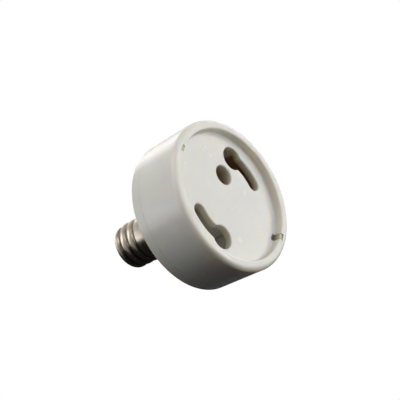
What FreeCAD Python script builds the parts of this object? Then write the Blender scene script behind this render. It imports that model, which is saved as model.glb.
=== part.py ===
import FreeCAD, Part
import math
import os

# Screw-base to twist-lock lamp socket adapter.
# A round moulded body takes a two-pin twist-lock lamp at its recessed face, and
# carries a small rolled-thread screw base at its rear. Units are millimetres.
# The rim's front plane lies on z = 0, the axis is +Z, and the screw base points
# up. Angles are taken about the axis from +X, where one lamp pin locks.

# Moulded body, outside
body_max_diameter = 39.3
body_length = 15.5
body_draft_deg = 1.6
cover_band_length = 2.8
front_edge_round = 1.3
rear_edge_round = 0.4
seam_chamfer = 0.06

# Recessed face of the front housing
rim_width = 2.5
recess_wall_lean = 0.1
recess_depth = 2.1
rim_edge_round = 0.4
recess_foot_round = 0.5
face_thickness = 2.0
housing_wall_thickness = 2.45
keyhole_edge_round = 0.3

# Twist-lock keyholes for the lamp's two pins
pin_circle_diameter = 24.0
entry_hole_diameter = 6.06
slot_width = 3.66
lock_turn_deg = 41.4
pin_count = 2

# Walls of the pin chambers inside the front housing, one span of angles a chamber
chamber_wall_thickness = 0.9
chamber_wall_gap = 0.1
chamber_wall_end_gap = 2.0
chamber_wall_spans_deg = ((-38.0, 27.0), (117.0, 207.0))
chamber_rib_angle_deg = -62.0
chamber_rib_end_gap = 0.2

# Screw that joins the two mouldings
screw_offset = 5.85
screw_angle_deg = -61.9
screw_head_diameter = 4.6
screw_head_height = 1.4
screw_shank_diameter = 2.4
screw_bite = 0.7
screw_point_length = 0.5
screw_point_diameter = 0.7
screw_hole_clearance = 0.27
screw_recess_width = 0.55
screw_recess_span = 2.6
screw_recess_depth = 0.9
counterbore_diameter = 5.14
counterbore_depth = 4.8
tower_diameter = 7.2
tower_floor = 1.7
boss_diameter = 5.2
boss_root = 1.7

# Snap hooks of the rear cover and the windows that form their ledges
snap_angle_deg = 57.3
snap_window_width = 2.0
snap_window_inward = 0.95
snap_window_outward = 0.95
snap_ledge_rise = 2.2
snap_arm_thickness = 1.0
snap_arm_width = 2.8
snap_arm_wall_gap = 0.2
snap_arm_face_gap = 0.4
snap_barb_reach = 0.9
snap_barb_side_gap = 0.2
snap_barb_lead = 0.9
snap_nose_wall_gap = 0.1
snap_nose_thickness = 0.85
snap_nose_depth = 0.3
snap_slot_gap = 0.6

# Rear cover
cover_thickness = 2.2
spigot_length = 2.0
spigot_thickness = 1.0
spigot_clearance = 0.1
neck_base_diameter = 14.4
neck_top_diameter = 13.8
neck_root_round = 1.2
neck_edge_chamfer = 0.3
neck_length = 9.0
wire_bore_diameter = 6.8
wire_bore_flare = 2.2
core_diameter = 9.8
core_length = 9.0
core_lead_chamfer = 0.4
collar_core_length = 4.3
shell_seat_clearance = 0.05

# Rolled screw shell
shell_collar_diameter = 11.8
shell_wall = 0.3
shell_length = 12.7
thread_major_diameter = 11.89
thread_minor_diameter = 10.62
thread_pitch = 2.54
thread_groove_position = 30.55
thread_groove_angle_deg = -160.6
thread_fade_start = 4.6
thread_fade_length = 1.2
shell_end_round = 1.0
shell_end_hole_diameter = 8.4
rows_per_pitch = 8
skin_columns = 24
end_round_rows = 5

# Punch marks that fix the shell on the cover's core
crimp_count = 4
crimp_first_deg = 45.0
crimp_position = 2.1
crimp_punch_radius = 1.0
crimp_depth = 0.38

# Tip of the screw base
insulator_plug_diameter = 9.6
insulator_chamfer = 0.3
insulator_plug_length = 2.25
insulator_rise = 1.15
insulator_land = 0.15
insulator_top_diameter = 6.0
insulator_hole_clearance = 0.05
eyelet_diameter = 5.2
eyelet_thickness = 0.3
eyelet_edge_round = 0.1
eyelet_tube_diameter = 1.8
eyelet_tube_length = 2.0
solder_cap_diameter = 3.4
solder_cap_height = 0.8

# Contact springs for the lamp's pins
strip_thickness = 0.4
strip_width = 4.6
foot_reach = 1.4
foot_bend_start = 5.4
foot_bend_radius = 0.8
contact_fold_height = 3.67
top_bend_radius = 1.0
leaf_slope_deg = 6.0
leaf_length = 3.9
crown_radius = 1.5
lead_in_deg = 40.0
lead_in_length = 2.2
strip_pocket_clearance = 0.1
solder_ear_width = 2.2
solder_ear_reach = 4.2
solder_ear_offset = 1.5
stake_offset = 3.2
stake_diameter = 1.6
stake_hole_clearance = 0.05
stake_head_diameter = 2.8
stake_head_height = 0.6

# Lead wires
conductor_diameter = 0.8
insulation_diameter = 1.5
wire_height = 0.9
wire_bare_length = 2.6
wire_bore_entry = (1.6, 0.4)
lead_to_bore_wall = 0.01
joint_blob_radius = 1.25
joint_blob_lift = 0.4
joint_wire_reach = 1.0
wire_groove_runout = 0.2
wire_groove_width = 1.0
wire_slot_width = 1.1
wire_slot_drop = 1.7
wire_slot_rise = 1.5
shell_lead_end_rise = 1.1
shell_lead_bare_drop = 2.9
tip_lead_bare_drop = 0.5

# Way of each lead through the neck, as (x, y, height over the shell's open end)
shell_lead_neck_points = ((1.4, 0.3, -5.2), (2.1, 0.1, -2.6))
tip_lead_neck_points = ((-1.1, -0.3, -2.5), (-0.35, 0.0, 4.0), (0.0, 0.0, 7.5))

# Overlap of shapes that are joined, and reach of a cut beyond its piece
weld_overlap = 0.5
cut_over = 1.0
edge_tolerance = 1e-4

body_max_radius = body_max_diameter / 2
rim_inner_radius = body_max_radius - rim_width
recess_floor_radius = rim_inner_radius - recess_wall_lean
housing_bore_radius = body_max_radius - housing_wall_thickness
face_back = recess_depth + face_thickness
seam_position = body_length - cover_band_length
cover_inner_face = body_length - cover_thickness
cover_spigot_end = seam_position - spigot_length
pin_circle_radius = pin_circle_diameter / 2
counterbore_floor = recess_depth + counterbore_depth
tower_end = counterbore_floor + tower_floor
screw_end = cover_inner_face + screw_bite
chamber_wall_end = cover_inner_face - chamber_wall_end_gap
chamber_wall_outer = pin_circle_radius - entry_hole_diameter / 2 - chamber_wall_gap
snap_window_inner = rim_inner_radius - snap_window_inward
snap_window_outer = rim_inner_radius + snap_window_outward
snap_ledge_position = face_back + snap_ledge_rise
upstand_length = cover_inner_face - face_back - contact_fold_height
wire_bore_radius = wire_bore_diameter / 2
shell_open_end = body_length + neck_length
shell_end = shell_open_end + shell_length
shell_collar_radius = shell_collar_diameter / 2
shell_inner_radius = shell_collar_radius - shell_wall
collar_core_radius = shell_inner_radius - shell_seat_clearance
core_end = shell_open_end + core_length
insulator_top = shell_end + insulator_rise
eyelet_top = insulator_top + eyelet_thickness
conductor_radius = conductor_diameter / 2
pocket_floor = cover_inner_face + strip_thickness
ear_tip_x = pin_circle_radius - strip_width / 2 - solder_ear_reach + solder_ear_width / 2
joint_x = pin_circle_radius - strip_width / 2 - solder_ear_reach / 2
wire_level = cover_inner_face - wire_height
axis_z = FreeCAD.Vector(0, 0, 1)
centre = FreeCAD.Vector(0, 0, 0)


def body_radius(z):
    """Outer radius of the moulded body at a height, with its mould draft."""
    return body_max_radius - (z - front_edge_round) * math.tan(math.radians(body_draft_deg))


def at_angle(radius, angle_deg, z):
    """Point at a radius and an angle about the axis."""
    angle = math.radians(angle_deg)
    return FreeCAD.Vector(radius * math.cos(angle), radius * math.sin(angle), z)


def rod(radius, low, high, place=centre):
    """Upright cylinder between two heights."""
    return Part.makeCylinder(radius, high - low, FreeCAD.Vector(place.x, place.y, low), axis_z)


def block(x_range, y_range, z_range):
    """Box given by its limits along each axis."""
    corner = FreeCAD.Vector(x_range[0], y_range[0], z_range[0])
    size = [pair[1] - pair[0] for pair in (x_range, y_range, z_range)]
    return Part.makeBox(size[0], size[1], size[2], corner)


def turned_about_axis(shape, angle_deg):
    """Copy of a shape turned about the adapter's axis."""
    copy = shape.copy()
    copy.rotate(centre, axis_z, angle_deg)
    return copy


def arc_middle(start, end, arc_centre, radius):
    """Point halfway along the shorter arc between two points (r, z)."""
    middle_r = (start[0] + end[0]) / 2 - arc_centre[0]
    middle_z = (start[1] + end[1]) / 2 - arc_centre[1]
    stretch = radius / math.hypot(middle_r, middle_z)
    return arc_centre[0] + middle_r * stretch, arc_centre[1] + middle_z * stretch


def turned_solid(outline):
    """Solid of revolution from an outline of (r, z) points.

    An entry with four values, (r, z, centre_r, centre_z), is reached by an arc
    about that centre.
    """
    edges = []
    for index, entry in enumerate(outline):
        before = outline[index - 1]
        start = FreeCAD.Vector(before[0], 0, before[1])
        end = FreeCAD.Vector(entry[0], 0, entry[1])
        if len(entry) == 4:
            arc_centre = entry[2:]
            radius = math.hypot(entry[0] - arc_centre[0], entry[1] - arc_centre[1])
            middle = arc_middle(before, entry, arc_centre, radius)
            edges.append(Part.Arc(start, FreeCAD.Vector(middle[0], 0, middle[1]), end).toShape())
        else:
            edges.append(Part.LineSegment(start, end).toShape())
    face = Part.Face(Part.Wire(edges))
    return face.revolve(centre, axis_z, 360)


def ring_sector(inner, outer, start_deg, end_deg, low, high):
    """Part of a ring between two angles and two heights."""
    middle_deg = (start_deg + end_deg) / 2
    edges = [
        Part.Arc(
            at_angle(outer, start_deg, low), at_angle(outer, middle_deg, low), at_angle(outer, end_deg, low)
        ).toShape(),
        Part.LineSegment(at_angle(outer, end_deg, low), at_angle(inner, end_deg, low)).toShape(),
        Part.Arc(
            at_angle(inner, end_deg, low), at_angle(inner, middle_deg, low), at_angle(inner, start_deg, low)
        ).toShape(),
        Part.LineSegment(at_angle(inner, start_deg, low), at_angle(outer, start_deg, low)).toShape(),
    ]
    return Part.Face(Part.Wire(edges)).extrude(FreeCAD.Vector(0, 0, high - low))


def extruded_outline(points, direction):
    """Prism over a polygon of points in space."""
    return Part.Face(Part.makePolygon(points + points[:1])).extrude(direction)


def rounded_route(points):
    """Wire along straight runs joined by the largest arcs that both runs allow."""
    edges = []
    last = points[0]
    for index in range(1, len(points) - 1):
        corner = points[index]
        inward = corner - points[index - 1]
        outward = points[index + 1] - corner
        reach = 0.45 * min(inward.Length, outward.Length)
        inward = inward.normalize()
        outward = outward.normalize()
        half_turn = inward.getAngle(outward) / 2
        radius = reach / math.tan(half_turn)
        arc_start = corner - inward * reach
        arc_end = corner + outward * reach
        to_centre = (outward - inward).normalize()
        arc_centre = corner + to_centre * (radius / math.cos(half_turn))
        edges.append(Part.LineSegment(last, arc_start).toShape())
        edges.append(Part.Arc(arc_start, arc_centre - to_centre * radius, arc_end).toShape())
        last = arc_end
    edges.append(Part.LineSegment(last, points[-1]).toShape())
    return Part.Wire(edges)


def swept_rod(route, radius):
    """Round rod along a route."""
    start = route.Edges[0].Vertexes[0].Point
    heading = route.Edges[0].tangentAt(route.Edges[0].FirstParameter)
    profile = Part.Wire(Part.Circle(start, heading, radius).toShape())
    return route.makePipeShell([profile], True, True)


def bent_strip(start, heading_deg, moves, thickness):
    """Flat outline of a bent strip in the YZ plane.

    start is the (y, z) of the strip's middle line, and heading_deg its first
    direction, from +Y towards +Z. A move is a straight length, or a pair of
    bend radius and signed turn in degrees.
    """
    half = thickness / 2
    y, z = start
    heading = math.radians(heading_deg)

    def side_point(side):
        return FreeCAD.Vector(0, y - side * half * math.sin(heading), z + side * half * math.cos(heading))

    left = []
    right = []
    for move in moves:
        before = {side: side_point(side) for side in (1, -1)}
        if isinstance(move, tuple):
            radius, turn_deg = move
            turn = math.radians(turn_deg)
            way = math.copysign(1.0, turn)
            centre_y = y - way * radius * math.sin(heading)
            centre_z = z + way * radius * math.cos(heading)
            middles = {}
            for side in (1, -1):
                middle_heading = heading + turn / 2
                reach = way * radius - side * half
                middle_y = centre_y + reach * math.sin(middle_heading)
                middle_z = centre_z - reach * math.cos(middle_heading)
                middles[side] = FreeCAD.Vector(0, middle_y, middle_z)
            heading += turn
            y = centre_y + way * radius * math.sin(heading)
            z = centre_z - way * radius * math.cos(heading)
            left.append(Part.Arc(before[1], middles[1], side_point(1)).toShape())
            right.append(Part.Arc(before[-1], middles[-1], side_point(-1)).toShape())
        else:
            y += move * math.cos(heading)
            z += move * math.sin(heading)
            left.append(Part.LineSegment(before[1], side_point(1)).toShape())
            right.append(Part.LineSegment(before[-1], side_point(-1)).toShape())
    end_cap = Part.LineSegment(side_point(1), side_point(-1)).toShape()
    first_left = left[0].Vertexes[0].Point
    first_right = right[0].Vertexes[0].Point
    start_cap = Part.LineSegment(first_right, first_left).toShape()
    return Part.Face(Part.Wire(left + [end_cap] + right[::-1] + [start_cap]))


def keyhole_cutter():
    """Entry hole and arc slot of the keyhole whose pin locks at 0 degrees."""
    low = recess_depth - cut_over
    high = face_back + cut_over
    entry = rod(entry_hole_diameter / 2, low, high, at_angle(pin_circle_radius, -lock_turn_deg, 0))
    slot_half = slot_width / 2
    slot = ring_sector(
        pin_circle_radius - slot_half, pin_circle_radius + slot_half, -lock_turn_deg, 0, low, high
    )
    lock_end = rod(slot_half, low, high, at_angle(pin_circle_radius, 0, 0))
    return entry.fuse([slot, lock_end]).removeSplitter()


def lies_on_mouth_edge(edge):
    """True for an edge of a keyhole or of the screw's hole at the recess floor."""
    box = edge.BoundBox
    off_floor = max(abs(box.ZMin - recess_depth), abs(box.ZMax - recess_depth))
    farthest = max(math.hypot(v.Point.x, v.Point.y) for v in edge.Vertexes)
    return off_floor < edge_tolerance and farthest < snap_window_inner - edge_tolerance


def chamber_walls(index):
    """Curved inner wall of a pin chamber and the rib that closes it beside its entry hole."""
    start_deg, end_deg = chamber_wall_spans_deg[index]
    wall = ring_sector(
        chamber_wall_outer - chamber_wall_thickness, chamber_wall_outer, start_deg, end_deg,
        face_back - weld_overlap, chamber_wall_end,
    )
    rib = block(
        (chamber_wall_outer - edge_tolerance, housing_bore_radius + weld_overlap),
        (-chamber_wall_thickness / 2, chamber_wall_thickness / 2),
        (face_back - weld_overlap, cover_spigot_end - chamber_rib_end_gap),
    )
    return [wall, turned_about_axis(rib, chamber_rib_angle_deg + index * 360 / pin_count)]


def front_housing():
    """Cup with the recessed face, the keyholes, the screw tower and the snap ledges."""
    seam_radius = body_radius(seam_position)
    outline = [
        (body_max_radius - front_edge_round, 0),
        (body_max_radius, front_edge_round, body_max_radius - front_edge_round, front_edge_round),
        (seam_radius, seam_position - seam_chamfer),
        (seam_radius - seam_chamfer, seam_position),
        (housing_bore_radius, seam_position),
        (housing_bore_radius, face_back),
        (0, face_back),
        (0, recess_depth),
        (recess_floor_radius - recess_foot_round, recess_depth),
        (
            recess_floor_radius, recess_depth - recess_foot_round,
            recess_floor_radius - recess_foot_round, recess_depth - recess_foot_round,
        ),
        (rim_inner_radius, rim_edge_round),
        (rim_inner_radius + rim_edge_round, 0, rim_inner_radius + rim_edge_round, rim_edge_round),
    ]
    housing = turned_solid(outline)
    screw_place = at_angle(screw_offset, screw_angle_deg, 0)
    additions = [rod(tower_diameter / 2, face_back - weld_overlap, tower_end, screw_place)]
    for index in range(pin_count):
        additions += chamber_walls(index)
    housing = housing.fuse(additions)
    cutters = [
        rod(counterbore_diameter / 2, recess_depth - cut_over, counterbore_floor, screw_place),
        rod(
            screw_shank_diameter / 2 + screw_hole_clearance,
            counterbore_floor - weld_overlap, tower_end + cut_over, screw_place,
        ),
    ]
    keyhole = keyhole_cutter()
    window = block(
        (snap_window_inner, snap_window_outer),
        (-snap_window_width / 2, snap_window_width / 2),
        (-cut_over, snap_ledge_position),
    )
    for index in range(pin_count):
        cutters.append(turned_about_axis(keyhole, index * 360 / pin_count))
        cutters.append(turned_about_axis(window, snap_angle_deg + index * 360 / pin_count))
    housing = housing.cut(cutters).removeSplitter()
    mouth_edges = [edge for edge in housing.Edges if lies_on_mouth_edge(edge)]
    return housing.makeFillet(keyhole_edge_round, mouth_edges)


def snap_hook():
    """Arm of the rear cover, with a barb that catches a ledge and a nose that fills the window."""
    outer = housing_bore_radius - snap_arm_wall_gap
    inner = outer - snap_arm_thickness
    arm_end = face_back + snap_arm_face_gap
    arm = block(
        (inner, outer), (-snap_arm_width / 2, snap_arm_width / 2), (arm_end, cover_inner_face + weld_overlap)
    )
    half_barb = snap_window_width / 2 - snap_barb_side_gap
    barb_points = [
        FreeCAD.Vector(outer - weld_overlap, -half_barb, arm_end),
        FreeCAD.Vector(outer, -half_barb, arm_end),
        FreeCAD.Vector(outer + snap_barb_reach, -half_barb, arm_end + snap_barb_lead),
        FreeCAD.Vector(outer + snap_barb_reach, -half_barb, snap_ledge_position),
        FreeCAD.Vector(outer - weld_overlap, -half_barb, snap_ledge_position),
    ]
    barb = extruded_outline(barb_points, FreeCAD.Vector(0, 2 * half_barb, 0))
    nose_outer = snap_window_outer - snap_nose_wall_gap
    nose = block(
        (nose_outer - snap_nose_thickness, nose_outer), (-half_barb, half_barb),
        (snap_nose_depth, arm_end + snap_barb_lead),
    )
    return arm.fuse([barb, nose]).removeSplitter()


def contact_pocket():
    """Pocket of the rear cover that the foot and the solder ear of a contact lie in."""
    gap = strip_pocket_clearance
    half_strip = strip_width / 2 + gap
    bend_outside = foot_bend_start + foot_bend_radius + strip_thickness / 2
    foot = block(
        (pin_circle_radius - half_strip, pin_circle_radius + half_strip),
        (-foot_reach - gap, bend_outside + gap),
        (cover_inner_face - cut_over, pocket_floor),
    )
    ear_half = solder_ear_width / 2 + gap
    ear = block(
        (ear_tip_x, pin_circle_radius),
        (solder_ear_offset - ear_half, solder_ear_offset + ear_half),
        (cover_inner_face - cut_over, pocket_floor),
    )
    ear_round = rod(
        ear_half, cover_inner_face - cut_over, pocket_floor, FreeCAD.Vector(ear_tip_x, solder_ear_offset, 0)
    )
    return foot.fuse([ear, ear_round])


def heat_stake():
    """Moulded peg of the rear cover, melted to a head over the contact's foot."""
    place = FreeCAD.Vector(pin_circle_radius, stake_offset, 0)
    peg_low = cover_inner_face - stake_head_height / 2
    peg = rod(stake_diameter / 2, peg_low, pocket_floor + weld_overlap, place)
    outline = [
        (0, cover_inner_face - stake_head_height),
        (stake_head_diameter / 2 - stake_head_height, cover_inner_face - stake_head_height),
        (
            stake_head_diameter / 2, cover_inner_face,
            stake_head_diameter / 2 - stake_head_height, cover_inner_face,
        ),
        (0, cover_inner_face),
    ]
    head = turned_solid(outline)
    head.translate(place)
    return peg.fuse(head)


def crimp_places():
    """Centres of the punch that dents the shell's collar, one for each mark."""
    radius = shell_collar_radius + crimp_punch_radius - crimp_depth
    height = shell_open_end + crimp_position
    step = 360 / crimp_count
    return [at_angle(radius, crimp_first_deg + index * step, height) for index in range(crimp_count)]


def rear_cover():
    """Disc with the neck and core for the screw shell, the hooks and the screw boss."""
    seam_radius = body_radius(seam_position)
    rear_radius = body_radius(body_length)
    spigot_outer = housing_bore_radius - spigot_clearance
    spigot_inner = spigot_outer - spigot_thickness
    neck_base = neck_base_diameter / 2
    neck_top = neck_top_diameter / 2
    core_radius = core_diameter / 2
    flare_radius = wire_bore_radius + wire_bore_flare
    collar_core_end = shell_open_end + collar_core_length
    outline = [
        (seam_radius - seam_chamfer, seam_position),
        (seam_radius, seam_position + seam_chamfer),
        (rear_radius, body_length - rear_edge_round),
        (
            rear_radius - rear_edge_round, body_length,
            rear_radius - rear_edge_round, body_length - rear_edge_round,
        ),
        (neck_base + neck_root_round, body_length),
        (
            neck_base, body_length + neck_root_round,
            neck_base + neck_root_round, body_length + neck_root_round,
        ),
        (neck_top, shell_open_end - neck_edge_chamfer),
        (neck_top - neck_edge_chamfer, shell_open_end),
        (collar_core_radius, shell_open_end),
        (collar_core_radius, collar_core_end - core_lead_chamfer),
        (core_radius, collar_core_end),
        (core_radius, core_end - core_lead_chamfer),
        (core_radius - core_lead_chamfer, core_end),
        (wire_bore_radius, core_end),
        (wire_bore_radius, cover_inner_face + wire_bore_flare),
        (flare_radius, cover_inner_face, flare_radius, cover_inner_face + wire_bore_flare),
        (spigot_inner, cover_inner_face),
        (spigot_inner, cover_spigot_end),
        (spigot_outer, cover_spigot_end),
        (spigot_outer, seam_position),
    ]
    cover = turned_solid(outline)
    hook_half = snap_arm_width / 2 + snap_slot_gap
    hook_gap = block(
        (spigot_inner - weld_overlap, housing_bore_radius),
        (-hook_half, hook_half),
        (cover_spigot_end - cut_over, cover_inner_face),
    )
    steps = [index * 360 / pin_count for index in range(pin_count)]
    cover = cover.cut([turned_about_axis(hook_gap, snap_angle_deg + step) for step in steps])
    boss_place = at_angle(screw_offset, screw_angle_deg, 0)
    boss = rod(boss_diameter / 2, tower_end, cover_inner_face + boss_root, boss_place)
    boss = boss.cut(rod(wire_bore_radius, tower_end - cut_over, body_length))
    hooks = [turned_about_axis(snap_hook(), snap_angle_deg + step) for step in steps]
    cover = cover.fuse([boss] + hooks)
    slot_half = wire_slot_width / 2
    groove_half = wire_groove_width / 2
    cutters = [
        rod(screw_shank_diameter / 2, tower_end - cut_over, screw_end + screw_point_length, boss_place),
        block(
            (0, collar_core_radius), (-slot_half, slot_half),
            (shell_open_end - wire_slot_drop, shell_open_end + wire_slot_rise),
        ),
        block(
            (collar_core_radius - wire_groove_width, shell_inner_radius), (-groove_half, groove_half),
            (shell_open_end, collar_core_end + wire_groove_runout),
        ),
    ]
    cutters += [turned_about_axis(contact_pocket(), step) for step in steps]
    pit_radius = crimp_punch_radius + shell_wall + shell_seat_clearance
    cutters += [Part.makeSphere(pit_radius, place) for place in crimp_places()]
    cover = cover.cut(cutters)
    return cover.fuse([turned_about_axis(heat_stake(), step) for step in steps]).removeSplitter()


def cover_screw():
    """Pan-head screw with a cross recess, shank left plain."""
    head_top = counterbore_floor - screw_head_height
    head_radius = screw_head_diameter / 2
    shank_radius = screw_shank_diameter / 2
    crown = screw_head_height / 2
    point_radius = screw_point_diameter / 2
    outline = [
        (0, head_top),
        (head_radius - crown, head_top),
        (head_radius, head_top + crown, head_radius - crown, head_top + crown),
        (head_radius, counterbore_floor),
        (shank_radius, counterbore_floor),
        (shank_radius, screw_end),
        (point_radius, screw_end + screw_point_length),
        (0, screw_end + screw_point_length),
    ]
    screw = turned_solid(outline)
    span = screw_recess_span / 2
    half = screw_recess_width / 2
    depth = (head_top - cut_over, head_top + screw_recess_depth)
    first_slot = block((-span, span), (-half, half), depth)
    second_slot = block((-half, half), (-span, span), depth)
    screw = screw.cut([first_slot, second_slot])
    screw.translate(at_angle(screw_offset, screw_angle_deg, 0))
    return screw


def thread_radius(z, angle):
    """Radius of the round screw thread, crest and root being equal tangent arcs."""
    major = thread_major_diameter / 2
    minor = thread_minor_diameter / 2
    depth = major - minor
    quarter = thread_pitch / 4
    arc_radius = (depth ** 2 / 4 + quarter ** 2) / depth
    groove_angle = math.radians(thread_groove_angle_deg)
    groove = thread_groove_position + thread_pitch * (angle - groove_angle) / (2 * math.pi)
    from_groove = (z - groove + thread_pitch / 2) % thread_pitch - thread_pitch / 2
    if abs(from_groove) <= quarter:
        return minor + arc_radius - math.sqrt(arc_radius ** 2 - from_groove ** 2)
    from_crest = thread_pitch / 2 - abs(from_groove)
    return major - arc_radius + math.sqrt(arc_radius ** 2 - from_crest ** 2)


def shell_stations():
    """Plain meridian of the shell as (r, z, normal_r, normal_z, thread share)."""
    fade_end = shell_open_end + thread_fade_start + thread_fade_length
    round_start = shell_end - shell_end_round
    row_step = thread_pitch / rows_per_pitch
    heights = [shell_open_end + part * thread_fade_start / 4 for part in range(4)]
    height = shell_open_end + thread_fade_start
    while height < round_start - 0.5 * row_step:
        heights.append(height)
        height += row_step
    stations = []
    for z in heights:
        share = min(max((z - fade_end) / thread_fade_length + 1, 0), 1)
        stations.append((shell_collar_radius, z, 1, 0, share * share * (3 - 2 * share)))
    arc_r = shell_collar_radius - shell_end_round
    for row in range(end_round_rows + 1):
        step = math.pi / 2 * row / end_round_rows
        r = arc_r + shell_end_round * math.cos(step)
        z = round_start + shell_end_round * math.sin(step)
        share = max(1 - row / (end_round_rows - 1), 0) ** 1.5
        stations.append((r, z, math.cos(step), math.sin(step), share))
    hole_radius = shell_end_hole_diameter / 2
    for part in (1 / 2, 1):
        stations.append((arc_r + part * (hole_radius - arc_r), shell_end, 0, 1, 0))
    return stations


def shell_point(station, angle, inset):
    """Point of the shell's skin, pushed along the normal by the thread."""
    r, z, normal_r, normal_z, share = station
    push = share * (thread_radius(z, angle) - shell_collar_radius) - inset
    out = r + push * normal_r
    return FreeCAD.Vector(out * math.cos(angle), out * math.sin(angle), z + push * normal_z)


def shell_skin(inset):
    """Skin of the shell, at a depth under its outside, as one smooth closed surface.

    Each pole stands off the skin by a sixth of the bend there, so that the
    cubic spline passes through the skin.
    """
    step = 2 * math.pi / skin_columns
    rows = []
    for station in shell_stations():
        rows.append([shell_point(station, column * step, inset) for column in range(skin_columns)])
    poles = []
    for index, row in enumerate(rows):
        line = []
        for column, point in enumerate(row):
            bend = row[(column + 1) % skin_columns] + row[column - 1] - point * 2
            if 1 < index < len(rows) - 2:
                bend += rows[index + 1][column] + rows[index - 1][column] - point * 2
            line.append(point - bend / 6)
        poles.append(line)
    spans = len(rows) - 3
    skin = Part.BSplineSurface()
    skin.buildFromPolesMultsKnots(
        poles, [4] + [1] * (spans - 1) + [4], [1] * (skin_columns + 1),
        list(range(spans + 1)), list(range(skin_columns + 1)), False, True, 3, 3,
    )
    return skin.toShape()


def end_circles(skin):
    """Lower and upper circle that bound a closed skin."""
    circles = [edge for edge in skin.Edges if edge.isClosed()]
    return sorted(circles, key=lambda edge: edge.BoundBox.ZMin)


def screw_shell():
    """Thin rolled shell: plain collar, round thread and a turned-in end."""
    outside = shell_skin(0.0)
    inside = shell_skin(shell_wall)
    faces = [outside, inside]
    for outer_circle, inner_circle in zip(end_circles(outside), end_circles(inside)):
        faces.append(Part.makeRuledSurface(outer_circle, inner_circle))
    skin = Part.makeShell(faces)
    skin.sewShape()
    shell = Part.makeSolid(skin)
    keep_in = rod(shell_inner_radius + shell_wall / 2, shell_open_end, shell_open_end + 2 * crimp_position)
    for place in crimp_places():
        punch = Part.makeSphere(crimp_punch_radius, place)
        dent = Part.makeSphere(crimp_punch_radius + shell_wall, place).common(keep_in)
        shell = shell.fuse(dent).cut(punch)
    return shell


def tip_insulator():
    """Moulded glass that closes the shell's end and carries the centre contact."""
    plug_radius = insulator_plug_diameter / 2
    lip_inner_face = shell_end - shell_wall
    land_radius = shell_end_hole_diameter / 2 - insulator_hole_clearance
    tube_radius = eyelet_tube_diameter / 2
    hole_radius = conductor_radius + insulator_hole_clearance
    tube_bottom = insulator_top - eyelet_tube_length
    outline = [
        (hole_radius, lip_inner_face - insulator_plug_length),
        (plug_radius - insulator_chamfer, lip_inner_face - insulator_plug_length),
        (plug_radius, lip_inner_face - insulator_plug_length + insulator_chamfer),
        (plug_radius, lip_inner_face),
        (land_radius, lip_inner_face),
        (land_radius, shell_end + insulator_land),
        (insulator_top_diameter / 2, insulator_top),
        (tube_radius, insulator_top),
        (tube_radius, tube_bottom),
        (hole_radius, tube_bottom),
    ]
    return turned_solid(outline)


def centre_contact():
    """Flat brass eyelet on the insulator, with a short tube round the wire."""
    hole_radius = conductor_radius + insulator_hole_clearance
    tube_radius = eyelet_tube_diameter / 2
    rim_radius = eyelet_diameter / 2
    tube_bottom = insulator_top - eyelet_tube_length
    outline = [
        (hole_radius, tube_bottom),
        (tube_radius, tube_bottom),
        (tube_radius, insulator_top),
        (rim_radius, insulator_top),
        (rim_radius, eyelet_top - eyelet_edge_round),
        (
            rim_radius - eyelet_edge_round, eyelet_top,
            rim_radius - eyelet_edge_round, eyelet_top - eyelet_edge_round,
        ),
        (hole_radius, eyelet_top),
    ]
    return turned_solid(outline)


def centre_solder(conductor):
    """Solder cap on the eyelet, round the wire's end."""
    base = solder_cap_diameter / 2
    sphere_radius = (base ** 2 + solder_cap_height ** 2) / (2 * solder_cap_height)
    sphere_centre = eyelet_top + solder_cap_height - sphere_radius
    ball = Part.makeSphere(sphere_radius, FreeCAD.Vector(0, 0, sphere_centre))
    cap = ball.common(rod(sphere_radius, eyelet_top, eyelet_top + sphere_radius))
    return cap.cut(conductor)


def contact_spring():
    """Bent bronze leaf for the pin that locks at 0 degrees, with its solder ear."""
    moves = [
        foot_reach + foot_bend_start,
        (foot_bend_radius, -90.0),
        upstand_length,
        (top_bend_radius, -(90.0 - leaf_slope_deg)),
        leaf_length,
        (crown_radius, -(leaf_slope_deg + lead_in_deg)),
        lead_in_length,
    ]
    foot_level = cover_inner_face + strip_thickness / 2
    face = bent_strip((-foot_reach, foot_level), 0.0, moves, strip_thickness)
    face.translate(FreeCAD.Vector(pin_circle_radius - strip_width / 2, 0, 0))
    strip = face.extrude(FreeCAD.Vector(strip_width, 0, 0))
    ear = block(
        (ear_tip_x, pin_circle_radius - strip_width / 2 + weld_overlap),
        (solder_ear_offset - solder_ear_width / 2, solder_ear_offset + solder_ear_width / 2),
        (cover_inner_face, pocket_floor),
    )
    ear_round = rod(
        solder_ear_width / 2, cover_inner_face, pocket_floor, FreeCAD.Vector(ear_tip_x, solder_ear_offset, 0)
    )
    stake_hole = rod(
        stake_diameter / 2 + stake_hole_clearance, cover_inner_face - cut_over, pocket_floor + cut_over,
        FreeCAD.Vector(pin_circle_radius, stake_offset, 0),
    )
    return strip.fuse([ear, ear_round]).cut(stake_hole).removeSplitter()


def neck_points(points):
    """Points of a lead's way through the neck, in space."""
    return [FreeCAD.Vector(x, y, shell_open_end + rise) for x, y, rise in points]


def shell_lead_route():
    """Lead from the contact at 0 degrees to the groove under the shell's collar."""
    groove_r = shell_inner_radius - conductor_radius - lead_to_bore_wall
    entry_x, entry_y = wire_bore_entry
    return [
        FreeCAD.Vector(joint_x + joint_wire_reach, solder_ear_offset, wire_level),
        FreeCAD.Vector(entry_x, entry_y, wire_level),
        *neck_points(shell_lead_neck_points),
        FreeCAD.Vector(groove_r, 0, shell_open_end + shell_lead_end_rise),
        FreeCAD.Vector(groove_r, 0, shell_open_end + collar_core_length),
    ]


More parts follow.
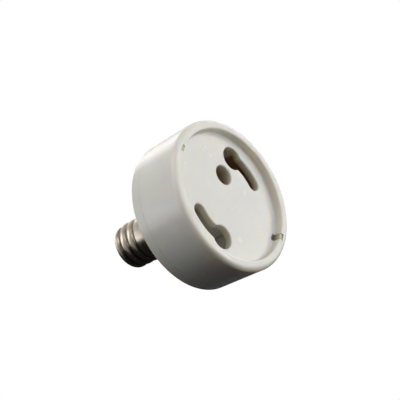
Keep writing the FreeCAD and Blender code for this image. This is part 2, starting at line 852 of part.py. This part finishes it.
def tip_lead_route():
    """Lead from the contact at 180 degrees through the neck to the centre contact."""
    entry_x, entry_y = wire_bore_entry
    return [
        FreeCAD.Vector(-joint_x - joint_wire_reach, -solder_ear_offset, wire_level),
        FreeCAD.Vector(-entry_x, -entry_y, wire_level),
        *neck_points(tip_lead_neck_points),
        FreeCAD.Vector(0, 0, eyelet_top + solder_cap_height / 2),
    ]


def lead_insulation(points, side, conductor, insulated_end):
    """Sleeve of a lead between its bare end at the contact and its far bare end."""
    sleeve = swept_rod(rounded_route(points), insulation_diameter / 2)
    bare_start = joint_x - wire_bare_length / 2
    far_x = pin_circle_radius + strip_width
    near_range = sorted((side * bare_start, side * far_x))
    near_end = block(near_range, (-far_x, far_x), (0, shell_end))
    far_end = block((-far_x, far_x), (-far_x, far_x), (insulated_end, eyelet_top + cut_over))
    return sleeve.cut([near_end, far_end, conductor])


def contact_joint(side, conductor):
    """Solder blob that holds a lead on a contact's ear."""
    place = FreeCAD.Vector(side * joint_x, side * solder_ear_offset, cover_inner_face - joint_blob_lift)
    ball = Part.makeSphere(joint_blob_radius, place)
    lowest = cover_inner_face - 2 * joint_blob_radius
    cap = ball.common(rod(joint_blob_radius, lowest, cover_inner_face, place))
    return cap.cut(conductor)


def build_pieces():
    """Every piece of the adapter by its node's name."""
    shell_route = shell_lead_route()
    tip_route = tip_lead_route()
    shell_conductor = swept_rod(rounded_route(shell_route), conductor_radius)
    tip_conductor = swept_rod(rounded_route(tip_route), conductor_radius)
    spring = contact_spring()
    return {
        "front_housing": front_housing(),
        "rear_cover": rear_cover(),
        "cover_screw": cover_screw(),
        "shell_contact_spring": spring,
        "tip_contact_spring": turned_about_axis(spring, 180),
        "shell_lead_conductor": shell_conductor,
        "tip_lead_conductor": tip_conductor,
        "shell_lead_insulation": lead_insulation(
            shell_route, 1, shell_conductor, shell_open_end - shell_lead_bare_drop
        ),
        "tip_lead_insulation": lead_insulation(
            tip_route, -1, tip_conductor, core_end - tip_lead_bare_drop
        ),
        "shell_contact_solder": contact_joint(1, shell_conductor),
        "tip_contact_solder": contact_joint(-1, tip_conductor),
        "screw_shell": screw_shell(),
        "tip_insulator": tip_insulator(),
        "centre_contact": centre_contact(),
        "centre_solder": centre_solder(tip_conductor),
    }


os.makedirs("parts", exist_ok=True)
for node_name, piece in build_pieces().items():
    piece.exportStep(os.path.join("parts", node_name + ".step"))
    print(node_name, "solids", len(piece.Solids), "valid", piece.isValid(), "volume", round(piece.Volume, 2))
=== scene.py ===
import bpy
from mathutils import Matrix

bl_info = {
    "name": "Lamp socket adapter",
    "version": (1, 0, 0),
    "blender": (4, 5, 0),
    "location": "3D View > Sidebar > Adapter",
    "description": "Finishes and studio for a screw-base to twist-lock lamp socket adapter",
    "category": "Object",
}

import math

import bpy
from mathutils import Vector

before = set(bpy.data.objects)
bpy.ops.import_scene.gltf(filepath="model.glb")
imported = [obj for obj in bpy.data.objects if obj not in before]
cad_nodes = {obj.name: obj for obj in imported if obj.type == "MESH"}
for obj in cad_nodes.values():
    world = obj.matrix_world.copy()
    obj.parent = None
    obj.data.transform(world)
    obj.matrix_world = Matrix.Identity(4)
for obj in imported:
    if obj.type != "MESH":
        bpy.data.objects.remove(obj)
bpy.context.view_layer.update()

MM = 0.001
WHITE = (1.0, 1.0, 1.0, 1.0)

# The noise texture's values mostly lie between these two
NOISE_LOW = 0.3
NOISE_HIGH = 0.7

# The hollow behind the housing's face, where the plastic carries painted shade: depths from the rim,
# radius, and how softly that painted shade ends
FACE_DEPTH = 2.7 * MM
DARK_DEPTH = 5.0 * MM
HOLLOW_END = 13.4 * MM
HOLLOW_END_FADE = 0.2 * MM
HOLLOW_RADIUS = 17.8 * MM
HOLLOW_RADIUS_FADE = 0.4 * MM

# That painted shade is weak on the -X side and full on the +X side, and stops at a line on the -Y side
WEAK_SHADE = 0.1
WEAK_SHADE_X = -4.0 * MM
FULL_SHADE_X = 3.0 * MM
NO_SHADE_Y = -9.5 * MM
FULL_SHADE_Y = -8.6 * MM

# Light goes deep into the plastic at the front of the barrel, and only a share as deep at its rear
DEEP_LIGHT_END = 5.0 * MM
SHALLOW_LIGHT_START = 10.0 * MM
SHALLOW_LIGHT_SHARE = 0.25

# Painted shade on the catches where they show in the windows: it holds up to this depth from the rim, and
# fades behind it
CATCH_DEPTH = 3.0 * MM
CATCH_FADE = 1.0 * MM

# The screw shell: radii between which the grooves' painted shade ends, and the darker band next to the
# neck, painted to dim the lamps' reflection there
GROOVE_RADIUS = 5.35 * MM
UNSHADED_RADIUS = 5.8 * MM
NECK_SHADE = 0.3
NECK_SHADE_END = 27.5 * MM
NECK_SHADE_STOP = 29.0 * MM

# How fine its rolled lines are along X, Y and Z; they run round the axis
LINE_SCALE = (120.0, 120.0, 9000.0)

# The camera's sensor in millimetres, and the distances between which it sees
SENSOR_WIDTH = 36.0
NEAREST_SEEN = 0.005
FARTHEST_SEEN = 10.0

# The lamps: a cool white, all at one distance from their target, and the two that gloss leaves out
LAMP_COLOUR = (0.95, 0.965, 1.0)
LAMP_DISTANCE = 0.6
LAMP_TARGET = Vector((0.0, 0.0, 12.0 * MM))
NOT_MIRRORED = ("back_lamp", "behind_lamp")

# Pale patches that gloss mirrors: direction, cosines where each starts and is full, and strength
MIRRORED_PATCHES = (
    ((0.27, -0.89, -0.368), -0.25, 0.35, 0.85),
    ((0.70, -0.33, 0.63), 0.90, 0.97, 0.05),
    ((0.53, -0.56, 0.64), 0.972, 0.995, 1.35),
)

# What each patch adds outside it, and the colours of the patches and of the light from all round
MIRRORED_DARK = 0.005
MIRRORED_COLOUR = (1.0, 0.98, 0.95, 1.0)
SURROUND_COLOUR = (1.0, 0.99, 0.97, 1.0)

# The floor: its size, its white share near the object, and the distances between which it turns white
FLOOR_SIZE = 4.0
FLOOR_GLOW = 0.6
FLOOR_NEAR = 0.06
FLOOR_FAR = 0.5


def new_material(name):
    """Empty node material with its output; returns (material, tree, output)."""
    material = bpy.data.materials.new(name)
    material.use_nodes = True
    tree = material.node_tree
    tree.nodes.clear()
    output = tree.nodes.new("ShaderNodeOutputMaterial")
    return material, tree, output


def add(tree, kind, settings=None, **inputs):
    """Adds a node, sets its properties and inputs, and links sockets given as inputs."""
    node = tree.nodes.new(kind)
    for name, value in (settings or {}).items():
        setattr(node, name, value)
    for name, value in inputs.items():
        socket = node.inputs[int(name[1:])] if name[1:].isdigit() else node.inputs[name.replace("_", " ")]
        if isinstance(value, bpy.types.NodeSocket):
            tree.links.new(value, socket)
        else:
            socket.default_value = value
    return node


def object_position(tree):
    """Position on the object, in its own coordinates."""
    return add(tree, "ShaderNodeTexCoord").outputs["Object"]


def noise(tree, place, scale, detail, roughness):
    """Fractal noise between 0 and 1."""
    node = add(tree, "ShaderNodeTexNoise", Vector=place, Scale=scale, Detail=detail, Roughness=roughness)
    return node.outputs["Fac"]


def spread(tree, value, low, high, to_low, to_high):
    """Maps a value from one range onto another, clamped."""
    node = add(tree, "ShaderNodeMapRange", {"clamp": True}, Value=value)
    node.inputs["From Min"].default_value = low
    node.inputs["From Max"].default_value = high
    node.inputs["To Min"].default_value = to_low
    node.inputs["To Max"].default_value = to_high
    return node.outputs["Result"]


def blend_colours(tree, factor, first, second):
    """Mixes two colours, each a socket or three channels, by a socket's factor."""
    node = add(tree, "ShaderNodeMix", {"data_type": "RGBA"}, _0=factor)
    for socket, value in ((node.inputs[6], first), (node.inputs[7], second)):
        if isinstance(value, bpy.types.NodeSocket):
            tree.links.new(value, socket)
        else:
            socket.default_value = (*value, 1.0)
    return node.outputs[2]


def scaled(colour, share):
    """Colour with each channel times a share."""
    return tuple(channel * share for channel in colour)


def calculate(tree, operation, first, second):
    """Arithmetic on two values, with an operation of the Math node."""
    return add(tree, "ShaderNodeMath", {"operation": operation}, _0=first, _1=second).outputs[0]


def depth_from_rim(tree, place):
    """Distance from the rim's plane along the adapter's axis, in metres."""
    return add(tree, "ShaderNodeSeparateXYZ", Vector=place).outputs["Z"]


def radius_from_axis(tree, place):
    """Distance from the adapter's axis, in metres."""
    flat = add(tree, "ShaderNodeVectorMath", {"operation": "MULTIPLY"}, _0=place, _1=(1.0, 1.0, 0.0))
    return add(tree, "ShaderNodeVectorMath", {"operation": "LENGTH"}, _0=flat.outputs[0]).outputs["Value"]


def painted_hollow_shade(tree, place):
    """Painted shade: rises from 0 at the face of the housing to 1 deep in the hollow behind it, and is 0
    outside.
    """
    parts = add(tree, "ShaderNodeSeparateXYZ", Vector=place).outputs
    radius = radius_from_axis(tree, place)
    factors = (
        spread(tree, parts["Z"], FACE_DEPTH, DARK_DEPTH, 0.0, 1.0),
        spread(tree, parts["Z"], HOLLOW_END, HOLLOW_END + HOLLOW_END_FADE, 1.0, 0.0),
        spread(tree, radius, HOLLOW_RADIUS, HOLLOW_RADIUS + HOLLOW_RADIUS_FADE, 1.0, 0.0),
        spread(tree, parts["X"], WEAK_SHADE_X, FULL_SHADE_X, WEAK_SHADE, 1.0),
        spread(tree, parts["Y"], NO_SHADE_Y, FULL_SHADE_Y, 0.0, 1.0),
    )
    shade = factors[0]
    for factor in factors[1:]:
        shade = calculate(tree, "MULTIPLY", shade, factor)
    return shade


def give(material, *names):
    """Puts a material on CAD nodes."""
    for name in names:
        mesh = cad_nodes[name].data
        mesh.materials.clear()
        mesh.materials.append(material)


class MouldingSettings(bpy.types.PropertyGroup):
    """Looks of the two white mouldings."""

    housing_colour: bpy.props.FloatVectorProperty(
        name="Housing colour", description="Colour of the front housing's plastic",
        subtype="COLOR", size=3, min=0, max=1, default=(0.82, 0.797, 0.726),
    )
    cover_colour: bpy.props.FloatVectorProperty(
        name="Cover colour", description="Colour of the rear cover's plastic",
        subtype="COLOR", size=3, min=0, max=1, default=(0.81, 0.789, 0.706),
    )
    # Painted shade: the dark olive that the catches are painted where they show in the windows, the tone
    # of the shade there
    catch_shade_colour: bpy.props.FloatVectorProperty(
        name="Catch colour", description="Colour of the cover's catches where they show in the windows",
        subtype="COLOR", size=3, min=0, max=1, default=(0.50, 0.45, 0.31),
    )
    # Painted shade: the colour that the plastic is darkened to deep in the hollow, where little light
    # reaches
    hollow_shade_colour: bpy.props.FloatVectorProperty(
        name="Hollow colour", description="Colour that the plastic darkens to deep in the hollow",
        subtype="COLOR", size=3, min=0, max=1, default=(0.34, 0.24, 0.13),
    )
    depth_colour: bpy.props.FloatVectorProperty(
        name="Depth tint", description="How far each colour of light travels inside the plastic, relative",
        subtype="COLOR", size=3, min=0, max=1, default=(1.0, 0.78, 0.5),
    )
    depth: bpy.props.FloatProperty(
        name="Light depth", description="How far light travels inside the plastic",
        subtype="DISTANCE", unit="LENGTH", min=0, max=0.01, default=0.0018,
    )
    roughness: bpy.props.FloatProperty(
        name="Roughness", description="Roughness of the moulded surface", min=0, max=1, default=0.22,
    )
    edge_softness: bpy.props.FloatProperty(
        name="Edge softness", description="Radius that the moulded edges look rounded by",
        subtype="DISTANCE", unit="LENGTH", min=0, max=0.002, default=0.00015,
    )


class MetalSettings(bpy.types.PropertyGroup):
    """Looks of the screw base, the contacts, the leads and the cover screw."""

    shell_colour: bpy.props.FloatVectorProperty(
        name="Shell colour", description="Colour of the plated screw shell",
        subtype="COLOR", size=3, min=0, max=1, default=(0.395, 0.351, 0.295),
    )
    # Painted shade: the near-black that the thread's grooves are painted, the tone of the shade in them
    groove_shade_colour: bpy.props.FloatVectorProperty(
        name="Groove tarnish", description="Colour of the tarnish in the thread's grooves",
        subtype="COLOR", size=3, min=0, max=1, default=(0.07, 0.057, 0.04),
    )
    shell_roughness: bpy.props.FloatProperty(
        name="Shell roughness", description="Roughness of the plated shell", min=0, max=1, default=0.26,
    )
    brass_colour: bpy.props.FloatVectorProperty(
        name="Brass colour", description="Colour of the tip's eyelet",
        subtype="COLOR", size=3, min=0, max=1, default=(0.72, 0.53, 0.27),
    )
    bronze_colour: bpy.props.FloatVectorProperty(
        name="Bronze colour", description="Colour of the contact springs",
        subtype="COLOR", size=3, min=0, max=1, default=(0.68, 0.42, 0.22),
    )
    solder_colour: bpy.props.FloatVectorProperty(
        name="Solder colour", description="Colour of the solder",
        subtype="COLOR", size=3, min=0, max=1, default=(0.62, 0.62, 0.61),
    )
    glass_colour: bpy.props.FloatVectorProperty(
        name="Glass colour", description="Colour of the tip's moulded glass",
        subtype="COLOR", size=3, min=0, max=1, default=(0.018, 0.014, 0.022),
    )
    zinc_colour: bpy.props.FloatVectorProperty(
        name="Zinc colour", description="Colour of the cover screw's plating",
        subtype="COLOR", size=3, min=0, max=1, default=(0.56, 0.57, 0.58),
    )
    copper_colour: bpy.props.FloatVectorProperty(
        name="Copper colour", description="Colour of the leads' tinned copper",
        subtype="COLOR", size=3, min=0, max=1, default=(0.66, 0.6, 0.55),
    )
    shell_sleeve_colour: bpy.props.FloatVectorProperty(
        name="Shell lead colour", description="Colour of the sleeve on the shell's lead",
        subtype="COLOR", size=3, min=0, max=1, default=(0.78, 0.78, 0.75),
    )
    tip_sleeve_colour: bpy.props.FloatVectorProperty(
        name="Tip lead colour", description="Colour of the sleeve on the tip's lead",
        subtype="COLOR", size=3, min=0, max=1, default=(0.03, 0.03, 0.032),
    )


class StudioSettings(bpy.types.PropertyGroup):
    """Camera, lamps and backdrop."""

    camera_place: bpy.props.FloatVectorProperty(
        name="Camera place", description="Where the camera stands", subtype="TRANSLATION", unit="LENGTH",
        size=3, default=(-0.250857, 0.001764, -0.184024),
    )
    camera_turn: bpy.props.FloatVectorProperty(
        name="Camera turn", description="How the camera is turned", subtype="EULER", unit="ROTATION",
        size=3, default=(math.radians(-148.9597), math.radians(44.4246), math.radians(39.7369)),
    )
    lens: bpy.props.FloatProperty(
        name="Lens", description="Focal length in millimetres on a 36 mm sensor", min=1, default=116.452,
    )
    face_power: bpy.props.FloatProperty(
        name="Face lamps", description="Power of the lamps in front of the recessed face, all together",
        unit="POWER", min=0, default=3.32,
    )
    side_power: bpy.props.FloatProperty(
        name="Side lamps", description="Power of the lamps along the barrel's left side, all together",
        unit="POWER", min=0, default=2.46,
    )
    back_power: bpy.props.FloatProperty(
        name="Back lamps", description="Power of the lamps behind the barrel, all together",
        unit="POWER", min=0, default=1.2,
    )
    mirrored: bpy.props.FloatProperty(
        name="Mirrored surroundings", description="Strength of the pale surroundings that gloss mirrors",
        min=0, max=10, default=1.2,
    )
    surround: bpy.props.FloatProperty(
        name="Surround light", description="Strength of the light from all round",
        min=0, max=1, default=0.01,
    )
    floor_colour: bpy.props.FloatVectorProperty(
        name="Floor colour", description="Colour of the floor", subtype="COLOR", size=3,
        min=0, max=1, default=(0.86, 0.86, 0.85),
    )


def moulded_plastic(name, colour, settings, catch_shade_colour=None):
    """Semi-gloss white plastic: faint mottling, a fine orange-peel surface, soft edges, and painted shade
    deep in the hollow and on the cover's catches.
    """
    material, tree, output = new_material(name)
    place = object_position(tree)
    depth = depth_from_rim(tree, place)
    mottling = noise(tree, place, scale=90.0, detail=4.0, roughness=0.55)
    paler = spread(tree, mottling, 0.35, 0.65, 0.0, 1.0)
    tint = blend_colours(tree, paler, scaled(colour, 0.965), colour)
    # Painted shade: darkens the plastic deep in the hollow behind the face, where little light reaches
    tint = blend_colours(tree, painted_hollow_shade(tree, place), tint, settings.hollow_shade_colour)
    # Painted shade: near the rim the cover's catches are darkened to the shade they sit in within the
    # windows
    if catch_shade_colour is not None:
        catch = spread(tree, depth, CATCH_DEPTH, CATCH_DEPTH + CATCH_FADE, 1.0, 0.0)
        tint = blend_colours(tree, catch, tint, catch_shade_colour)
    handling = noise(tree, place, scale=260.0, detail=5.0, roughness=0.6)
    rough = spread(
        tree, handling, NOISE_LOW, NOISE_HIGH, settings.roughness - 0.04, settings.roughness + 0.06
    )
    light_depth = spread(
        tree, depth, DEEP_LIGHT_END, SHALLOW_LIGHT_START,
        settings.depth, settings.depth * SHALLOW_LIGHT_SHARE,
    )
    softened = add(tree, "ShaderNodeBevel", {"samples": 6}, Radius=settings.edge_softness)
    peel = noise(tree, place, scale=1400.0, detail=2.0, roughness=0.5)
    surface = add(
        tree, "ShaderNodeBump", Height=peel, Strength=0.06, Distance=0.02 * MM, Normal=softened.outputs[0]
    )
    shader = add(
        tree, "ShaderNodeBsdfPrincipled", Base_Color=tint, Roughness=rough, IOR=1.5,
        Subsurface_Weight=1.0, Subsurface_Radius=settings.depth_colour, Subsurface_Scale=light_depth,
        Normal=surface.outputs[0],
    )
    tree.links.new(shader.outputs[0], output.inputs["Surface"])
    return material


def plated_shell(settings):
    """Bright plating, rolled: fine lines round the axis, painted shade in the grooves, and a darker band
    by the neck painted to dim its reflection.
    """
    material, tree, output = new_material("nickel_plating")
    place = object_position(tree)
    # Painted shade: darker in the thread's grooves, patchy, and in a band by the neck that dims the lamps'
    # reflection there
    in_groove = spread(tree, radius_from_axis(tree, place), GROOVE_RADIUS, UNSHADED_RADIUS, 1.0, 0.0)
    blotches = noise(tree, place, scale=420.0, detail=5.0, roughness=0.6)
    patchy = spread(tree, blotches, NOISE_LOW, NOISE_HIGH, 0.5, 1.0)
    neck_shade = spread(tree, depth_from_rim(tree, place), NECK_SHADE_END, NECK_SHADE_STOP, NECK_SHADE, 0.0)
    painted_shade = calculate(tree, "MAXIMUM", calculate(tree, "MULTIPLY", in_groove, patchy), neck_shade)
    colour = blend_colours(tree, painted_shade, settings.shell_colour, settings.groove_shade_colour)
    stretched = add(tree, "ShaderNodeMapping", Vector=place, Scale=LINE_SCALE)
    lines = noise(tree, stretched.outputs[0], scale=1.0, detail=3.0, roughness=0.6)
    rough = spread(
        tree, calculate(tree, "ADD", lines, blotches), 2 * NOISE_LOW, 2 * NOISE_HIGH,
        settings.shell_roughness - 0.08, settings.shell_roughness + 0.14,
    )
    surface = add(tree, "ShaderNodeBump", Height=lines, Strength=0.2, Distance=0.01 * MM)
    shader = add(
        tree, "ShaderNodeBsdfPrincipled", Base_Color=colour, Metallic=1.0, Roughness=rough,
        Normal=surface.outputs[0],
    )
    tree.links.new(shader.outputs[0], output.inputs["Surface"])
    return material


def worked_metal(name, colour, roughness, scale, unevenness):
    """Plain metal with blotches of roughness and colour, and a slightly uneven surface."""
    material, tree, output = new_material(name)
    place = object_position(tree)
    blotches = noise(tree, place, scale, detail=5.0, roughness=0.6)
    paler = spread(tree, blotches, 0.3, 0.75, 0.0, 1.0)
    tint = blend_colours(tree, paler, scaled(colour, 0.72), colour)
    rough = spread(tree, blotches, NOISE_LOW, NOISE_HIGH, roughness + 0.1, roughness - 0.04)
    surface = add(tree, "ShaderNodeBump", Height=blotches, Strength=0.3, Distance=unevenness)
    shader = add(
        tree, "ShaderNodeBsdfPrincipled", Base_Color=tint, Metallic=1.0, Roughness=rough,
        Normal=surface.outputs[0],
    )
    tree.links.new(shader.outputs[0], output.inputs["Surface"])
    return material


def wire_sleeve(name, colour):
    """Satin wire insulation."""
    material, tree, output = new_material(name)
    place = object_position(tree)
    grain = noise(tree, place, scale=2200.0, detail=3.0, roughness=0.5)
    tint = blend_colours(tree, grain, scaled(colour, 0.9), colour)
    surface = add(tree, "ShaderNodeBump", Height=grain, Strength=0.2, Distance=0.02 * MM)
    shader = add(
        tree, "ShaderNodeBsdfPrincipled", Base_Color=tint, Roughness=0.45, Normal=surface.outputs[0]
    )
    tree.links.new(shader.outputs[0], output.inputs["Surface"])
    return material


def tip_glass(colour):
    """Moulded opaque glass, with shallow ripples of the mould."""
    material, tree, output = new_material("moulded_glass")
    place = object_position(tree)
    ripples = noise(tree, place, scale=500.0, detail=2.0, roughness=0.4)
    cloud = noise(tree, place, scale=300.0, detail=4.0, roughness=0.6)
    tint = blend_colours(tree, cloud, colour, scaled(colour, 2.2))
    rough = spread(tree, cloud, NOISE_LOW, NOISE_HIGH, 0.08, 0.2)
    surface = add(tree, "ShaderNodeBump", Height=ripples, Strength=0.25, Distance=0.04 * MM)
    shader = add(
        tree, "ShaderNodeBsdfPrincipled", Base_Color=tint, Roughness=rough, IOR=1.52,
        Normal=surface.outputs[0],
    )
    tree.links.new(shader.outputs[0], output.inputs["Surface"])
    return material


class ADAPTER_OT_finish_mouldings(bpy.types.Operator):
    """Give the front housing and the rear cover their white moulded plastic"""

    bl_idname = "adapter.finish_mouldings"
    bl_label = "Finish the mouldings"

    def execute(self, context):
        settings = context.scene.adapter_mouldings
        give(moulded_plastic("housing_plastic", settings.housing_colour, settings), "front_housing")
        give(
            moulded_plastic("cover_plastic", settings.cover_colour, settings, settings.catch_shade_colour),
            "rear_cover",
        )
        return {"FINISHED"}


class ADAPTER_OT_finish_screw_base(bpy.types.Operator):
    """Give the screw shell, the glass, the eyelet and the tip's solder their finishes"""

    bl_idname = "adapter.finish_screw_base"
    bl_label = "Finish the screw base"

    def execute(self, context):
        settings = context.scene.adapter_metals
        give(plated_shell(settings), "screw_shell")
        give(tip_glass(settings.glass_colour), "tip_insulator")
        brass = worked_metal(
            "eyelet_brass", settings.brass_colour, roughness=0.28, scale=700.0, unevenness=0.02 * MM
        )
        give(brass, "centre_contact")
        solder = worked_metal(
            "bright_solder", settings.solder_colour, roughness=0.24, scale=900.0, unevenness=0.06 * MM
        )
        give(solder, "centre_solder", "shell_contact_solder", "tip_contact_solder")
        return {"FINISHED"}


class ADAPTER_OT_finish_inside(bpy.types.Operator):
    """Give the contact springs, the leads and the cover screw their finishes"""

    bl_idname = "adapter.finish_inside"
    bl_label = "Finish the inner pieces"

    def execute(self, context):
        settings = context.scene.adapter_metals
        bronze = worked_metal(
            "spring_bronze", settings.bronze_colour, roughness=0.3, scale=500.0, unevenness=0.02 * MM
        )
        give(bronze, "shell_contact_spring", "tip_contact_spring")
        zinc = worked_metal(
            "zinc_plating", settings.zinc_colour, roughness=0.32, scale=800.0, unevenness=0.02 * MM
        )
        give(zinc, "cover_screw")
        copper = worked_metal(
            "tinned_copper", settings.copper_colour, roughness=0.35, scale=1200.0, unevenness=0.02 * MM
        )
        give(copper, "shell_lead_conductor", "tip_lead_conductor")
        give(wire_sleeve("white_sleeve", settings.shell_sleeve_colour), "shell_lead_insulation")
        give(wire_sleeve("black_sleeve", settings.tip_sleeve_colour), "tip_lead_insulation")
        return {"FINISHED"}


def aim(place, target):
    """Turn that points an object's -Z from one place at another."""
    return (target - place).to_track_quat("-Z", "Y").to_euler()


def add_lamp(scene, name, direction, size, power):
    """Round soft lamp that stands in a direction from the target and aims at it."""
    data = bpy.data.lights.new(name, "AREA")
    data.shape = "DISK"
    data.size = size
    data.energy = power
    data.color = LAMP_COLOUR
    lamp = bpy.data.objects.new(name, data)
    lamp.location = LAMP_TARGET + Vector(direction).normalized() * LAMP_DISTANCE
    lamp.rotation_euler = aim(lamp.location, LAMP_TARGET)
    lamp.visible_glossy = name not in NOT_MIRRORED
    scene.collection.objects.link(lamp)


def backdrop_world(surround, mirrored):
    """World: white where the camera sees it, patches for gloss, and a weak fill from all round."""
    world = bpy.data.worlds.new("backdrop")
    world.use_nodes = True
    tree = world.node_tree
    tree.nodes.clear()
    rays = add(tree, "ShaderNodeLightPath")
    direction = add(tree, "ShaderNodeTexCoord").outputs["Generated"]
    gloss = None
    for axis, start, full, strength in MIRRORED_PATCHES:
        toward = add(tree, "ShaderNodeVectorMath", {"operation": "DOT_PRODUCT"}, _0=direction, _1=axis)
        patch = spread(tree, toward.outputs["Value"], start, full, MIRRORED_DARK, mirrored * strength)
        gloss = patch if gloss is None else calculate(tree, "ADD", gloss, patch)
    fill = add(tree, "ShaderNodeBackground", Color=SURROUND_COLOUR, Strength=surround)
    pale = add(tree, "ShaderNodeBackground", Color=MIRRORED_COLOUR, Strength=gloss)
    white = add(tree, "ShaderNodeBackground", Color=WHITE, Strength=1.0)
    glossy = rays.outputs["Is Glossy Ray"]
    lit = add(tree, "ShaderNodeMixShader", _0=glossy, _1=fill.outputs[0], _2=pale.outputs[0])
    seen = calculate(
        tree, "MAXIMUM", rays.outputs["Is Camera Ray"], rays.outputs["Is Transmission Ray"]
    )
    whole = add(tree, "ShaderNodeMixShader", _0=seen, _1=lit.outputs[0], _2=white.outputs[0])
    output = add(tree, "ShaderNodeOutputWorld")
    tree.links.new(whole.outputs[0], output.inputs["Surface"])
    return world


def floor_finish(colour):
    """Pale floor, seen by the camera from above only: matt near the object, pure white far from it."""
    material, tree, output = new_material("studio_floor")
    place = object_position(tree)
    grain = noise(tree, place, scale=25.0, detail=4.0, roughness=0.6)
    tint = blend_colours(tree, grain, scaled(colour, 0.99), colour)
    matt = add(tree, "ShaderNodeBsdfDiffuse", Color=tint)
    seen = add(tree, "ShaderNodeLightPath").outputs["Is Camera Ray"]
    glow = calculate(tree, "MULTIPLY", seen, FLOOR_GLOW)
    pale = add(tree, "ShaderNodeEmission", Color=WHITE, Strength=glow)
    near = add(tree, "ShaderNodeAddShader", _0=matt.outputs[0], _1=pale.outputs[0])
    white = add(tree, "ShaderNodeEmission", Color=WHITE, Strength=seen)
    away = spread(tree, radius_from_axis(tree, place), FLOOR_NEAR, FLOOR_FAR, 0.0, 1.0)
    top = add(tree, "ShaderNodeMixShader", _0=away, _1=near.outputs[0], _2=white.outputs[0])
    below = add(tree, "ShaderNodeBsdfTransparent")
    side = add(tree, "ShaderNodeNewGeometry").outputs["Backfacing"]
    whole = add(tree, "ShaderNodeMixShader", _0=side, _1=top.outputs[0], _2=below.outputs[0])
    tree.links.new(whole.outputs[0], output.inputs["Surface"])
    return material


class ADAPTER_OT_add_studio(bpy.types.Operator):
    """Add the camera, the lamps, the floor and the white backdrop"""

    bl_idname = "adapter.add_studio"
    bl_label = "Add the studio"

    def execute(self, context):
        settings = context.scene.adapter_studio
        scene = context.scene
        scene.view_settings.view_transform = "Standard"

        data = bpy.data.cameras.new("photo_camera")
        data.sensor_width = SENSOR_WIDTH
        data.lens = settings.lens
        data.clip_start = NEAREST_SEEN
        data.clip_end = FARTHEST_SEEN
        camera = bpy.data.objects.new("photo_camera", data)
        camera.location = settings.camera_place
        camera.rotation_euler = settings.camera_turn
        scene.collection.objects.link(camera)
        scene.camera = camera

        for name, direction, size, power in (
            ("face_lamp", (0.0, 0.0, -1.0), 0.34, settings.face_power * 0.19),
            ("low_lamp", (0.43, 0.31, -0.85), 0.34, settings.face_power * 0.36),
            ("high_lamp", (0.43, -0.31, -0.85), 0.34, settings.face_power * 0.23),
            ("right_lamp", (0.85, 0.0, -0.53), 0.34, settings.face_power * 0.13),
            ("top_lamp", (-0.16, -0.5, -0.85), 0.34, settings.face_power * 0.09),
            ("side_lamp", (-0.52, -0.85, 0.0), 0.5, settings.side_power * 0.60),
            ("left_lamp", (-0.72, -0.53, 0.45), 0.5, settings.side_power * 0.34),
            ("sheen_lamp", (-0.70, -0.25, 0.67), 0.22, settings.side_power * 0.09),
            ("back_lamp", (0.28, -0.85, 0.45), 0.34, settings.back_power * 0.42),
            ("edge_lamp", (0.95, -0.31, 0.0), 0.34, settings.back_power * 0.22),
            ("behind_lamp", (0.6, 0.2, 0.77), 0.34, settings.back_power),
        ):
            add_lamp(scene, name, direction, size, power)

        bpy.ops.mesh.primitive_plane_add(size=FLOOR_SIZE, location=(0.0, 0.0, 0.0))
        floor = context.object
        floor.name = "studio_floor"
        floor.data.materials.append(floor_finish(settings.floor_colour))
        floor.visible_shadow = False
        floor.visible_diffuse = False
        floor.visible_glossy = False
        floor.visible_transmission = False

        scene.world = backdrop_world(settings.surround, settings.mirrored)
        return {"FINISHED"}


class ADAPTER_PT_sidebar(bpy.types.Panel):
    """Lists the steps that finish the adapter"""

    bl_idname = "ADAPTER_PT_sidebar"
    bl_label = "Lamp socket adapter"
    bl_space_type = "VIEW_3D"
    bl_region_type = "UI"
    bl_category = "Adapter"

    def draw(self, context):
        layout = self.layout
        scene = context.scene
        for label, group, operators in (
            ("Mouldings", scene.adapter_mouldings, (ADAPTER_OT_finish_mouldings,)),
            ("Metals", scene.adapter_metals, (ADAPTER_OT_finish_screw_base, ADAPTER_OT_finish_inside)),
            ("Studio", scene.adapter_studio, (ADAPTER_OT_add_studio,)),
        ):
            box = layout.box()
            box.label(text=label)
            for name in group.__annotations__:
                box.prop(group, name)
            for operator in operators:
                box.operator(operator.bl_idname)


classes = (
    MouldingSettings,
    MetalSettings,
    StudioSettings,
    ADAPTER_OT_finish_mouldings,
    ADAPTER_OT_finish_screw_base,
    ADAPTER_OT_finish_inside,
    ADAPTER_OT_add_studio,
    ADAPTER_PT_sidebar,
)


def register():
    """Registers the classes and hangs the settings on the scene."""
    for cls in classes:
        bpy.utils.register_class(cls)
    bpy.types.Scene.adapter_mouldings = bpy.props.PointerProperty(type=MouldingSettings)
    bpy.types.Scene.adapter_metals = bpy.props.PointerProperty(type=MetalSettings)
    bpy.types.Scene.adapter_studio = bpy.props.PointerProperty(type=StudioSettings)


def unregister():
    """Removes the settings and the classes."""
    del bpy.types.Scene.adapter_studio
    del bpy.types.Scene.adapter_metals
    del bpy.types.Scene.adapter_mouldings
    for cls in reversed(classes):
        bpy.utils.unregister_class(cls)


def main():
    """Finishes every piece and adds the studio."""
    register()
    bpy.ops.adapter.finish_mouldings()
    bpy.ops.adapter.finish_screw_base()
    bpy.ops.adapter.finish_inside()
    bpy.ops.adapter.add_studio()


if __name__ == "__main__":
    main()
